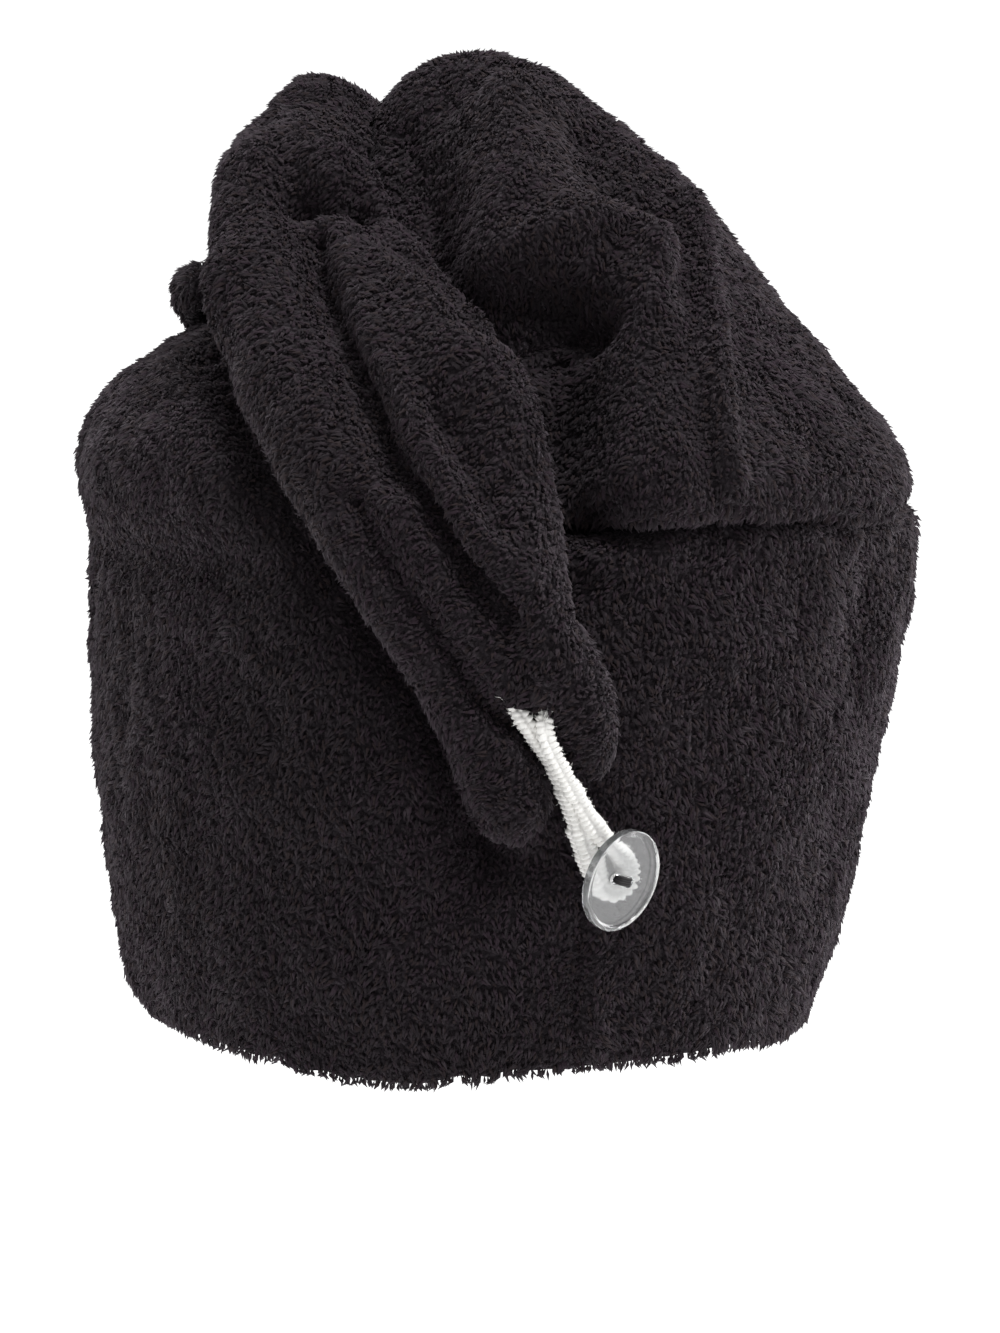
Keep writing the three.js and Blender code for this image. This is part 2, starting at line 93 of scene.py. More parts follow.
# Folds, seams and dents: half width and rise in millimetres, how round their section is,
# and the places of the 1000 x 1333 picture that the line goes through
FOLDS = {
    "crown_fold": [
        {"name": "valley beside the tail", "width": 7.0, "rise": -6.0, "round": 1.6, "line": [
            (392, 130), (398, 190), (428, 250), (468, 300), (508, 345), (545, 395), (565, 450),
            (576, 505)]},
        {"name": "dent", "width": 7.5, "rise": -12.0, "round": 2.2, "line": [
            (534, 306), (556, 310), (578, 314)]},
        {"name": "floor of the dent", "width": 4.5, "rise": -8.5, "round": 1.8, "line": [
            (502, 330), (535, 336), (568, 334), (592, 326)]},
        {"name": "hollow under the dent", "width": 8.5, "rise": -9.5, "round": 2, "line": [
            (564, 356), (570, 400), (577, 450), (586, 500)]},
        {"name": "arc over the dent", "width": 5.0, "rise": 5.2, "round": 2, "line": [
            (500, 272), (532, 243), (565, 226), (600, 218), (632, 226), (652, 252)]},
        {"name": "side of the arc", "width": 6.0, "rise": 3.0, "round": 2, "line": [
            (652, 252), (650, 300), (634, 350), (624, 410), (622, 470)]},
        {"name": "bulge right of the dent", "width": 8.0, "rise": 2.4, "round": 2, "line": [
            (664, 320), (668, 390), (664, 450)]},
        {"name": "seam", "width": 2.5, "rise": 5.2, "round": 1.6, "line": [
            (684, 204), (692, 232), (704, 296), (712, 360), (720, 424), (727, 475)]},
        {"name": "tuck beside the seam", "width": 3.4, "rise": -1.2, "round": 1.8, "line": [
            (668, 250), (682, 310), (691, 370), (699, 430), (706, 480)]},
        {"name": "crease in the crown", "width": 10.0, "rise": -7.0, "round": 2, "line": [
            (440, 92), (432, 140), (426, 190), (430, 240)]},
        {"name": "ridge down the crown", "width": 7.5, "rise": 5.2, "round": 2, "line": [
            (508, 100), (510, 160), (506, 205), (490, 245)]},
        {"name": "shade on the crown", "width": 9.0, "rise": -6.5, "round": 2, "line": [
            (592, 135), (612, 168), (628, 200)]},
        {"name": "rolled edge", "width": 7.0, "rise": 2.2, "round": 2, "line": [
            (610, 508), (660, 500), (720, 494), (790, 486), (850, 482)]},
        {"name": "corner over the hood", "width": 6.0, "rise": 3.0, "round": 2, "line": [
            (850, 508), (868, 506), (884, 503)]},
        {"name": "slack on the right", "width": 9.0, "rise": -1.6, "round": 2, "line": [
            (740, 330), (775, 390), (810, 440)]},
    ],
    "hood": [
        {"name": "centre back seam", "width": 1.8, "rise": -2.6, "round": 1.5, "line": [
            (590, 760), (588, 820), (584, 900), (580, 960), (577, 1020), (576, 1062)]},
        {"name": "ridge by the seam", "width": 2.4, "rise": 1.7, "round": 2, "line": [
            (603, 850), (599, 900), (595, 960), (593, 1020), (592, 1056)]},
        {"name": "crease under the left roll", "width": 5.0, "rise": -2.6, "round": 1.7, "line": [
            (100, 545), (130, 552), (180, 556), (240, 560)]},
        {"name": "left roll", "width": 10.0, "rise": 2.0, "round": 2, "line": [
            (110, 470), (160, 455), (215, 470)]},
        {"name": "crease along the tail", "width": 4.2, "rise": -6.5, "round": 1.7, "line": [
            (214, 350), (240, 425), (268, 480), (300, 535), (338, 590), (378, 645), (414, 705),
            (444, 765), (464, 815), (490, 852)]},
        {"name": "front of the fold's shadow", "width": 5.5, "rise": 4.4, "round": 2, "line": [
            (598, 560), (650, 550), (720, 542), (800, 537), (866, 533)]},
        {"name": "corner under the fold", "width": 6.0, "rise": 1.2, "round": 2, "line": [
            (880, 530), (896, 536), (902, 560)]},
        {"name": "shoulder under the fold", "width": 4.5, "rise": 3.2, "round": 2, "line": [
            (876, 525), (888, 523), (896, 525)]},
        {"name": "soft fold on the right", "width": 7.0, "rise": 1.8, "round": 2, "line": [
            (893, 560), (888, 600), (880, 650)]},
        {"name": "tuck on the right", "width": 6.5, "rise": -2.0, "round": 2, "line": [
            (862, 590), (852, 650), (862, 715)]},
        {"name": "upper slack on the left", "width": 8.0, "rise": -1.2, "round": 2, "line": [
            (130, 620), (200, 660), (280, 710)]},
        {"name": "lower slack on the left", "width": 9.0, "rise": 1.2, "round": 2, "line": [
            (130, 700), (200, 760), (300, 820)]},
        {"name": "slack on the back", "width": 9.0, "rise": -1.0, "round": 2, "line": [
            (650, 640), (700, 700), (780, 740)]},
        {"name": "hollow under the tail's end", "width": 6.0, "rise": -3.4, "round": 2, "line": [
            (478, 846), (520, 862), (566, 852)]},
    ],
    "twisted_tail": [
        {"name": "main groove", "width": 3.4, "rise": -7.5, "round": 1.5, "line": [
            (314, 236), (324, 288), (344, 336), (368, 400), (392, 456), (424, 512), (452, 560),
            (484, 600), (503, 622)]},
        {"name": "lower groove", "width": 2.8, "rise": -6.5, "round": 1.5, "line": [
            (350, 500), (380, 552), (412, 600), (444, 640), (476, 690), (500, 712), (540, 740)]},
        {"name": "middle roll", "width": 6.0, "rise": 5.0, "round": 2, "line": [
            (400, 520), (432, 572), (464, 622), (492, 662), (516, 690)]},
        {"name": "ridge beside the groove", "width": 3.0, "rise": 1.6, "round": 2, "line": [
            (342, 236), (362, 304), (382, 360), (414, 416), (454, 496), (494, 552), (524, 575)]},
        {"name": "hollow in the right roll", "width": 4.0, "rise": -1.6, "round": 1.8, "line": [
            (440, 420), (465, 465), (495, 525)]},
        {"name": "fill of the right roll", "width": 5.0, "rise": 2.4, "round": 2, "line": [
            (400, 330), (430, 385), (520, 540), (552, 590)]},
        {"name": "edge on the crown", "width": 4.0, "rise": -5.0, "round": 1.6, "line": [
            (372, 100), (374, 140), (364, 190), (398, 236), (440, 270), (474, 312), (512, 344),
            (545, 384), (562, 430)]},
        {"name": "fold under the cap", "width": 4.2, "rise": -7.0, "round": 1.6, "line": [
            (300, 208), (322, 198), (348, 196), (372, 200)]},
        {"name": "cap", "width": 8.0, "rise": 4.0, "round": 2, "line": [
            (262, 160), (300, 150), (345, 164)]},
        {"name": "edge by the tuck", "width": 6.0, "rise": 3.0, "round": 2, "line": [
            (221, 280), (223, 300), (228, 322)]},
    ],
    "side_tuck": [],
}
# The hood goes in with the fold where the fold presses on it
PRESSED = {"hood": ["valley beside the tail", "hollow under the dent"]}

# Painted light (above 0) and painted shade on the pile, in its palest and darkest tones: a place of the
# picture, how far it reaches in millimetres, and how many more of its tufts are of the palest or
# darkest tone
PAINTED_LIGHT_AND_SHADE = [
    # painted highlights on the tail's cap, right roll and tip, and painted shade under the cap
    {"node": "twisted_tail", "place": (290, 150), "reach": 13, "paler": 0.30},
    {"node": "twisted_tail", "place": (336, 216), "reach": 6, "paler": -0.60},
    {"node": "twisted_tail", "place": (545, 535), "reach": 9, "paler": 0.45},
    {"node": "twisted_tail", "place": (566, 600), "reach": 8, "paler": 0.35},
    {"node": "twisted_tail", "place": (590, 690), "reach": 9, "paler": 0.35},
    # painted shade in the crown's crease, on the crown, in the dent and under it, and painted
    # highlights along the seam
    {"node": "crown_fold", "place": (425, 170), "reach": 14, "paler": -0.60},
    {"node": "crown_fold", "place": (618, 195), "reach": 9, "paler": -0.60},
    {"node": "crown_fold", "place": (555, 325), "reach": 9, "paler": -0.80},
    {"node": "crown_fold", "place": (575, 430), "reach": 12, "paler": -0.80},
    {"node": "crown_fold", "place": (708, 340), "reach": 5, "paler": 0.35},
    {"node": "crown_fold", "place": (695, 250), "reach": 5, "paler": 0.35},
    {"node": "crown_fold", "place": (720, 420), "reach": 5, "paler": 0.35},
    # painted shade and painted shadow on the hood beside the tail and low on the left, and painted
    # light on its left side and low on the right
    {"node": "hood", "place": (265, 500), "reach": 14, "paler": -0.50},
    {"node": "hood", "place": (300, 640), "reach": 22, "paler": -0.35},
    {"node": "hood", "place": (250, 960), "reach": 26, "paler": -0.35},
    {"node": "hood", "place": (150, 700), "reach": 16, "paler": 0.12},
    {"node": "hood", "place": (740, 960), "reach": 20, "paler": 0.15},
]

# Lumps all over the cloth: their size and height in millimetres
LUMPS = [
    {"size": 34, "rise": 0.55},
    {"size": 14, "rise": 0.38},
    {"size": 5, "rise": 0.30},
]

# The pile: closed tufts of six faces each, in pieces that stay under 200,000 faces
TUFTS_IN_ALL = 160000
TUFTS_PER_PIECE = 33000
TUFT_LENGTH = 2.5 * MM
TUFT_RADIUS = 0.40 * MM
TUFT_ROOT = 0.3 * MM
TUFT_BEND = 0.45
# How far the tufts take the shading of the cloth below them
PILE_SOFTNESS = 1.3
# How far the tufts turn out of the flow, in radians, over wide and narrow parts of the cloth,
# from clump to clump and from tuft to tuft
SWING_WIDE = 0.35
SWING_NARROW = 0.4
SWING_CLUMP = 0.8
SWING_TUFT = 0.25
# How far the lower and the upper part of a tuft lean from upright, in degrees: least and spread
LEAN_LOW = (18, 22)
LEAN_HIGH = (50, 34)
# How much shorter the pile is in a narrow crease
SHORTER_IN_CREASE = 0.5
TUFTS_PER_CLUMP = 7
CLUMP_PULL = 0.38
COVERED_WITHIN = 5 * MM
CLEAR_OF_FACE = 0.3 * MM
ACROSS_PART = 300 * MM
# Which way the pile lies on each piece, in the part's frame
PILE_FLOW = {
    "hood": (0.10, 0.0, -1.0),
    "crown_fold": (0.0, 0.15, -1.0),
    "twisted_tail": (0.75, 0.1, -0.65),
    "side_tuck": (0.5, 0.2, -0.8),
}
# The elastic's middle line in millimetres, out of the tail, round the shank and back
ELASTIC_ROUTE = [
    (20.0, 100.7, 79.3), (19.2, 107.4, 75.7), (16.9, 109.1, 71.5), (13.7, 108.0, 67.1),
    (10.2, 106.7, 62.7), (7.4, 105.1, 57.7), (4.9, 103.2, 52.5), (2.6, 100.9, 47.6),
    (0.2, 98.3, 42.4), (-1.8, 96.4, 38.0), (-3.4, 95.7, 35.0), (-5.6, 95.3, 33.7),
    (-7.9, 95.0, 34.4), (-9.2, 95.0, 36.6), (-8.8, 95.8, 39.4), (-6.8, 97.6, 42.2),
    (-3.9, 99.7, 44.8), (-0.8, 101.6, 48.0), (2.3, 103.8, 52.1), (5.3, 106.1, 56.2),
    (8.3, 108.5, 60.7), (11.0, 110.4, 64.9), (12.8, 111.0, 68.9), (12.8, 109.6, 73.0),
    (11.8, 105.3, 77.1),
]
ELASTIC_CORE = 1.2 * MM
RIB_HEIGHT = 1.15 * MM
RIB_PITCH = 1.3 * MM
RIB_TILT = 0.22
RIBS_STEP = 0.13 * MM
ELASTIC_SIDES = 24
# How much wider than deep the elastic lies, as the camera sees it
ELASTIC_SPREAD = 1.22
# Its thickness where it leaves the tail, as a share of the thickness by the button
ELASTIC_DRAWN = 0.66
FUZZ_COUNT = 1500
# Frayed threads stand out where the elastic leaves the tail: place on the route and count
FRAYED = [(1.0, 26), (22.6, 18)]

# The button and its thread, in the part's frame
SHANK_FOOT = Vector((-5.54, 93.39, 37.1)) * MM
BUTTON_BACK = Vector((-5.54, 102.39, 37.1)) * MM
BUTTON_FACE = Vector((-0.528, 0.81, -0.256)).normalized()
HOLE_LINE = Vector((-1.29, -0.96, -0.36))
BUTTON_RADIUS = 11.25 * MM
BUTTON_THICKNESS = 1.8 * MM
BUTTON_RIM = 0.9 * MM
BUTTON_SLOPE = 0.4 * MM
BUTTON_DISH = 0.3 * MM
BUTTON_EDGE = 0.3 * MM
BUTTON_SIDES = 96
HOLE_RADIUS = 1.15 * MM
HOLE_REACH = 2.1 * MM
STRAND_RADIUS = 0.27 * MM
STRANDS = 4
SHANK_TURNS = 6
STEPS_IN_TURN = 14
SHANK_CORE = 0.85 * MM
SHANK_WINDING = 0.8 * MM
SHANK_THREAD = 0.42 * MM

# Tones of the pile: colour and how much of the cloth has it. The palest also carries painted light and
# the darkest painted shade
PILE_TONES = [
    {"name": "charcoal", "color": (0.0165, 0.0121, 0.0151), "share": 0.34},
    {"name": "plum_black", "color": (0.0208, 0.0126, 0.0182), "share": 0.24},
    {"name": "brown_black", "color": (0.0202, 0.0130, 0.0139), "share": 0.18},
    {"name": "deep_black", "color": (0.0123, 0.0093, 0.0112), "share": 0.14},
    {"name": "worn_grey_and_painted_light", "color": (0.0285, 0.0212, 0.0258), "share": 0.10},
]
# Sizes of the patches of plum and brown, and of the light and dark streaks, which are drawn
# out upright by this much
PATCH_SIZE = 45 * MM
STREAK_SIZE = 6 * MM
FINE_STREAK_SIZE = 2.6 * MM
STREAK_DRAW = 0.5

# The ground of the terry under the pile, with painted shade where the loops sink
GROUND_LOOPS = 900
GROUND_PAINTED_SHADE = (0.0095, 0.0069, 0.009, 1)
GROUND_LOOP = (0.018, 0.0137, 0.0168, 1)
GROUND_PATCH = (0.0222, 0.0145, 0.0197, 1)
SHEEN_TINT = (0.80, 0.70, 0.80, 1)


def active_only(piece):
    """Makes one object the only selected and active one."""
    bpy.ops.object.select_all(action="DESELECT")
    piece.select_set(True)
    bpy.context.view_layer.objects.active = piece


def apply_modifiers(piece):
    active_only(piece)
    for modifier in list(piece.modifiers):
        bpy.ops.object.modifier_apply(modifier=modifier.name)


def points_of(mesh):
    points = np.zeros(len(mesh.vertices) * 3)
    mesh.vertices.foreach_get("co", points)
    return points.reshape(-1, 3)


def normals_of(mesh):
    normals = np.zeros(len(mesh.vertices) * 3)
    mesh.vertex_normals.foreach_get("vector", normals)
    return normals.reshape(-1, 3)


def move_points(mesh, points):
    mesh.vertices.foreach_set("co", points.astype(np.float32).ravel())
    mesh.update()


def unit(vectors):
    return vectors / np.maximum(np.linalg.norm(vectors, axis=-1, keepdims=True), 1e-12)


def soft_waves(points, size, seed, count=24):
    """A smooth random field over space, about -1 to 1, with lumps of about that size."""
    random = np.random.default_rng(seed)
    heading = unit(random.normal(size=(count, 3)))
    pitch = 2 * math.pi / (size * random.uniform(0.7, 1.7, count))
    phase = random.uniform(0, 2 * math.pi, count)
    waves = np.sin(points @ (heading * pitch[:, None]).T + phase)
    return waves.sum(1) * math.sqrt(2 / count) * 0.7


def smooth_line(places, steps=5):
    """The same line with a soft course between its places."""
    places = np.array(places, float)
    padded = np.vstack([2 * places[0] - places[1], places, 2 * places[-1] - places[-2]])
    line = []
    for a, b, c, d in zip(padded[:-3], padded[1:-2], padded[2:-1], padded[3:]):
        for share in np.arange(steps) / steps:
            line.append(0.5 * (2 * b + (c - a) * share + (2 * a - 5 * b + 4 * c - d) * share ** 2
                               + (3 * b - a - 3 * c + d) * share ** 3))
    line.append(places[-1])
    return np.array(line)


def line_on_piece(tree, places):
    """Where a line of the picture lies on a piece, and the ways that the surface looks there."""
    back, right, up = camera_axes()
    eye = CAMERA_TARGET + back * CAMERA_DISTANCE
    found, looks = [], []
    for across, down in smooth_line(places):
        seen = (CAMERA_TARGET + right * (across - PICTURE_WIDTH / 2) / PICTURE_SCALE
                - up * (down - PICTURE_HEIGHT / 2) / PICTURE_SCALE)
        place, look, index, far = tree.ray_cast(eye, (seen - eye).normalized())
        if place is not None:
            found.append(place)
            looks.append(look)
    looks = np.array(looks)
    for turn in range(3):
        looks[1:-1] = unit(looks[:-2] + looks[1:-1] + looks[2:])
    return np.array(found), looks


def press_line(points, line, looks, width, rise, roundness):
    """Moves points in or out round a line. Both faces of a wall move together."""
    best = np.full(len(points), 1e9)
    way = np.zeros_like(points)
    for place, look in zip(line, looks):
        gap = points - place
        depth = gap @ look
        level = np.sqrt(np.maximum((gap ** 2).sum(1) - depth ** 2, 0))
        level += np.maximum(np.abs(depth) - WALL_REACH, 0) * 2
        nearer = level < best
        best[nearer] = level[nearer]
        way[nearer] = look
    share = np.exp(-(best / width) ** roundness)
    return points + way * (share * rise)[:, None], share


def drop_hem(points):
    """Lets the edge of the hood down again by what evening out the cloth took off it."""
    parts = ((np.arctan2(points[:, 0], points[:, 1]) / (2 * math.pi) + 0.5) * HEM_PARTS).astype(int)
    lowest = np.array([points[parts % HEM_PARTS == part, 2].min() for part in range(HEM_PARTS)])
    lowest = (np.roll(lowest, 1) + lowest + np.roll(lowest, -1)) / 3
    share = 1 - np.clip((points[:, 2] - lowest[parts % HEM_PARTS]) / HEM_REACH, 0, 1)
    points[:, 2] -= HEM_DROP * share ** 2


def make_cloth(node, name):
    """One cloth piece: its solid evened out, taken in by the pile's depth, then creased."""
    piece = bpy.data.objects.new(name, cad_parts[node].data.copy())
    bpy.context.scene.collection.objects.link(piece)
    piece.data.materials.clear()
    shape = bmesh.new()
    shape.from_mesh(piece.data)
    bmesh.ops.remove_doubles(shape, verts=shape.verts, dist=0.001 * MM)
    shape.to_mesh(piece.data)
    shape.free()
    even = piece.modifiers.new("even", "REMESH")
    even.mode = "VOXEL"
    even.voxel_size = CLOTH_VOXEL
    soften = piece.modifiers.new("soften", "SMOOTH")
    soften.factor = 0.5
    soften.iterations = CLOTH_SMOOTHING
    apply_modifiers(piece)
    points = points_of(piece.data)
    normals = normals_of(piece.data)
    core = np.array(CLOTH_CORES[node], float) * MM
    outward = unit(points - core)
    outer = np.clip((normals * outward).sum(1) * 4, 0, 1)
    points -= normals * (outer * PILE_DEPTH)[:, None]
    if node == "hood":
        drop_hem(points)
    for number, lump in enumerate(LUMPS):
        rise = soft_waves(points, lump["size"] * MM, 10 + number) * lump["rise"] * MM
        points += outward * rise[:, None]
    move_points(piece.data, points)
    tree = tree_of(piece)
    folds = list(FOLDS[node])
    if node in PRESSED:
        folds += [fold for fold in FOLDS["crown_fold"] if fold["name"] in PRESSED[node]]
    pinch = np.zeros(len(points))
    for fold in folds:
        line, looks = line_on_piece(tree, fold["line"])
        points, share = press_line(points, line, looks, fold["width"] * MM, fold["rise"] * MM,
                                   fold["round"])
        if fold["rise"] < 0 and fold["width"] < NARROW_FOLD:
            pinch = np.maximum(pinch, share)
    move_points(piece.data, points)
    piece.data.polygons.foreach_set("use_smooth", np.ones(len(piece.data.polygons), bool))
    return piece, pinch


def triangles_of(mesh, pinch):
    """Corner places, corner normals, corner pinches and areas of a mesh's triangles."""
    mesh.calc_loop_triangles()
    corners = np.zeros(len(mesh.loop_triangles) * 3, np.int64)
    mesh.loop_triangles.foreach_get("vertices", corners)
    corners = corners.reshape(-1, 3)
    points = points_of(mesh)[corners]
    normals = normals_of(mesh)[corners]
    cross = np.cross(points[:, 1] - points[:, 0], points[:, 2] - points[:, 0])
    return points, normals, pinch[corners], np.linalg.norm(cross, axis=1) / 2


def tree_of(piece):
    return BVHTree.FromObject(piece, bpy.context.evaluated_depsgraph_get())


def open_faces(points, normals, node, trees):
    """Which triangles are on the outside and not covered by another piece."""
    middles = points.mean(1)
    facing = unit(normals.mean(1))
    core = np.array(CLOTH_CORES[node], float) * MM
    outside = (facing * unit(middles - core)).sum(1) > -0.15
    own = trees[node]
    others = [tree for name, tree in trees.items() if name != node]
    for index in np.flatnonzero(outside):
        start = Vector(middles[index] + facing[index] * CLEAR_OF_FACE)
        heading = Vector(facing[index])
        if own.ray_cast(start, heading, ACROSS_PART)[0] is not None and node == "hood":
            outside[index] = (facing[index] * unit(middles[index] - core)).sum() > 0.2
        for tree in others:
            if tree.ray_cast(start, heading, COVERED_WITHIN)[0] is not None:
                outside[index] = False
                break
    return outside


def nearest_clump(places, random):
    """The middle of the clump that each tuft leans into, and two random numbers of it."""
    count = max(1, len(places) // TUFTS_PER_CLUMP)
    middles = places[random.choice(len(places), count, replace=False)]
    tree = KDTree(count)
    for index, middle in enumerate(middles):
        tree.insert(middle, index)
    tree.balance()
    owner = np.array([tree.find(place)[1] for place in places])
    return middles[owner], random.uniform(size=(count, 2))[owner]


def scatter(points, normals, pinches, areas, wanted, seed):
    """Random places on triangles, about the wanted number in all, and what is there."""
    random = np.random.default_rng(seed)
    expected = areas / areas.sum() * wanted
    counts = np.floor(expected + random.uniform(size=len(areas))).astype(int)
    owner = np.repeat(np.arange(len(areas)), counts)
    u, v = random.uniform(size=(2, len(owner)))
    flip = u + v > 1
    u[flip], v[flip] = 1 - u[flip], 1 - v[flip]
    weights = np.stack([1 - u - v, u, v], 1)[:, :, None]
    return ((points[owner] * weights).sum(1), unit((normals[owner] * weights).sum(1)),
            (pinches[owner] * weights[:, :, 0]).sum(1))


def painted_light_and_shade_share(places, node, tree):
    """How much painted light (above 0) or painted shade the pile carries at each place."""
    share = np.zeros(len(places))
    for spot in PAINTED_LIGHT_AND_SHADE:
        if spot["node"] == node:
            middle = line_on_piece(tree, [spot["place"], spot["place"]])[0].mean(0)
            gap = np.linalg.norm(places - middle, axis=1)
            share += spot["paler"] * np.exp(-(gap / (spot["reach"] * MM)) ** 2)
    return share


def tone_numbers(places, painted_light_and_shade, seed):
    """Which tone each tuft has: patches of plum and brown, worn tips scattered over all, and painted
    light and painted shade from the table in the palest and darkest tones.
    """
    random = np.random.default_rng(seed)
    patch = soft_waves(places, PATCH_SIZE, seed + 1) * 0.30
    drawn = places * (1, 1, STREAK_DRAW)
    streak = (soft_waves(drawn, STREAK_SIZE, seed + 2) * 0.14
              + soft_waves(drawn, FINE_STREAK_SIZE, seed + 6) * 0.16)
    value = random.uniform(size=len(places))
    shares = np.array([tone["share"] for tone in PILE_TONES])
    plum = np.clip(shares[1] * (1 + 2.2 * patch), 0.02, 0.6)
    brown = np.clip(shares[2] * (1 - 1.5 * patch), 0.02, 0.5)
    # painted light goes into the palest tone and painted shade into the darkest
    worn_and_painted_light = np.clip(shares[4] * (1 + 2.5 * streak), 0.01, 0.3) + np.maximum(painted_light_and_shade, 0)
    deep_and_painted_shade = np.clip(shares[3] * (1 - 2.0 * streak), 0.02, 0.4) + np.maximum(-painted_light_and_shade, 0)
    plum *= 1 - np.abs(painted_light_and_shade)
    brown *= 1 - np.abs(painted_light_and_shade)
    edges = np.cumsum(np.stack([plum, brown, deep_and_painted_shade, worn_and_painted_light], 1), 1)
    numbers = np.zeros(len(places), int)
    for number, edge in zip((4, 3, 2, 1), edges.T[::-1]):
        numbers[value < edge] = number
    return numbers


def tuft_shape(places, normals, pinches, flow, seed):
    """Five points of each tuft: a root in the cloth, three round its belly and a bent tip, and
    the ways they look, which lean to the cloth's own so that the pile shades softly."""
    random = np.random.default_rng(seed)
    count = len(places)
    lay = np.broadcast_to(np.array(flow, float), places.shape)
    lay = unit(lay - normals * (lay * normals).sum(1, keepdims=True))
    side = np.cross(normals, lay)
    centre, clump = nearest_clump(places, random)
    swing = (soft_waves(places, 22 * MM, seed + 3) * SWING_WIDE
             + soft_waves(places, 8 * MM, seed + 4) * SWING_NARROW
             + (clump[:, 0] - 0.5) * SWING_CLUMP + random.normal(size=count) * SWING_TUFT)
    lay = lay * np.cos(swing)[:, None] + side * np.sin(swing)[:, None]
    pull = centre - places
    pull -= normals * (pull * normals).sum(1, keepdims=True)
    length = TUFT_LENGTH * (0.72 + 0.36 * random.uniform(size=count) + 0.22 * (clump[:, 1] - 0.5))
    length *= 1 + 0.12 * soft_waves(places, 18 * MM, seed + 5)
    length *= 1 - SHORTER_IN_CREASE * pinches
    lean_low = np.radians(LEAN_LOW[0] + LEAN_LOW[1] * random.uniform(size=count))[:, None]
    lean_high = np.radians(LEAN_HIGH[0] + LEAN_HIGH[1] * random.uniform(size=count))[:, None]
    root = places - normals * TUFT_ROOT
    first = (TUFT_BEND * length)[:, None]
    second = ((1 - TUFT_BEND) * length)[:, None]
    belly = places + first * (normals * np.cos(lean_low) + lay * np.sin(lean_low))
    belly += pull * CLUMP_PULL * 0.5
    tip = belly + second * (normals * np.cos(lean_high) + lay * np.sin(lean_high))
    tip += pull * CLUMP_PULL
    axis = unit(tip - root)
    across = unit(np.cross(axis, random.normal(size=places.shape)))
    upward = np.cross(axis, across)
    radius = TUFT_RADIUS * (0.75 + 0.5 * random.uniform(size=count))[:, None]
    ring, looks = [], [normals]
    for corner in range(3):
        turn = corner * 2 * math.pi / 3
        outward = across * math.cos(turn) + upward * math.sin(turn)
        ring.append(belly + radius * outward)
        looks.append(unit(normals * PILE_SOFTNESS + outward))
    looks.append(unit(normals * PILE_SOFTNESS + axis))
    return np.stack([root, *ring, tip], 1), np.stack(looks, 1)


def tuft_piece(name, tufts, tones, materials, looks=None):
    """One mesh of closed tufts, with their own normals where they are given."""
    count = len(tufts)
    faces = np.array([(0, 2, 1), (0, 3, 2), (0, 1, 3), (4, 1, 2), (4, 2, 3), (4, 3, 1)])
    corners = (faces[None] + np.arange(count)[:, None, None] * tufts.shape[1]).ravel()
    mesh = bpy.data.meshes.new(name)
    mesh.vertices.add(count * tufts.shape[1])
    mesh.vertices.foreach_set("co", tufts.astype(np.float32).ravel())
    mesh.loops.add(len(corners))
    mesh.loops.foreach_set("vertex_index", corners.astype(np.int32))
    mesh.polygons.add(count * len(faces))
    mesh.polygons.foreach_set("loop_start", np.arange(0, len(corners), 3, dtype=np.int32))
    for material in materials:
        mesh.materials.append(material)
    mesh.polygons.foreach_set("material_index", np.repeat(tones, len(faces)).astype(np.int32))
    mesh.polygons.foreach_set("use_smooth", np.ones(count * len(faces), bool))
    mesh.update(calc_edges=True)
    mesh.validate()
    if looks is not None:
        mesh.normals_split_custom_set_from_vertices(looks.reshape(-1, 3).tolist())
    piece = bpy.data.objects.new(name, mesh)
    bpy.context.scene.collection.objects.link(piece)
    return piece


def swept(line, radii):
    """A closed tube round a line: its points and faces. Each ring has its own radii."""
    line = np.array(line, float)
    count, sides = radii.shape
    along = unit(np.gradient(line, axis=0))
    across = np.zeros_like(line)
    start = np.cross(along[0], (0.3, 0.2, 0.9))
    across[0] = start / np.linalg.norm(start)
    for step in range(1, count):
        carried = across[step - 1] - along[step] * (across[step - 1] @ along[step])
        across[step] = carried / np.linalg.norm(carried)
    second = np.cross(along, across)
    turn = np.arange(sides) * 2 * math.pi / sides
    rings = (line[:, None] + radii[:, :, None] * (np.cos(turn)[None, :, None] * across[:, None]
                                                  + np.sin(turn)[None, :, None] * second[:, None]))
    points = np.vstack([rings.reshape(-1, 3), line[:1], line[-1:]])
    first, last = count * sides, count * sides + 1
    faces = []
    for side in range(sides):
        after = (side + 1) % sides
        faces.append((first, after, side))
        faces.append((last, (count - 1) * sides + side, (count - 1) * sides + after))
        for ring in range(count - 1):
            low, high = ring * sides, (ring + 1) * sides
            faces.append((low + side, low + after, high + after, high + side))
    return points, faces


def mesh_piece(name, parts, material):
    """One object from several closed parts, each a pair of points and faces."""
    points, faces = [], []
    for part_points, part_faces in parts:
        start = sum(len(given) for given in points)
        points.append(part_points)
        faces += [tuple(start + corner for corner in face) for face in part_faces]
    mesh = bpy.data.meshes.new(name)
    mesh.from_pydata(np.vstack(points).tolist(), [], faces)
    mesh.polygons.foreach_set("use_smooth", np.ones(len(mesh.polygons), bool))
    mesh.materials.append(material)
    mesh.update()
    piece = bpy.data.objects.new(name, mesh)
    bpy.context.scene.collection.objects.link(piece)
    return piece


def even_line(places, pitch):
    """A soft line through places, cut in even steps."""
    line = smooth_line(places, 24)
    reach = np.concatenate([[0], np.cumsum(np.linalg.norm(np.diff(line, axis=0), axis=1))])
    marks = np.linspace(0, reach[-1], int(reach[-1] / pitch))
    return np.stack([np.interp(marks, reach, line[:, axis]) for axis in range(3)], 1), marks


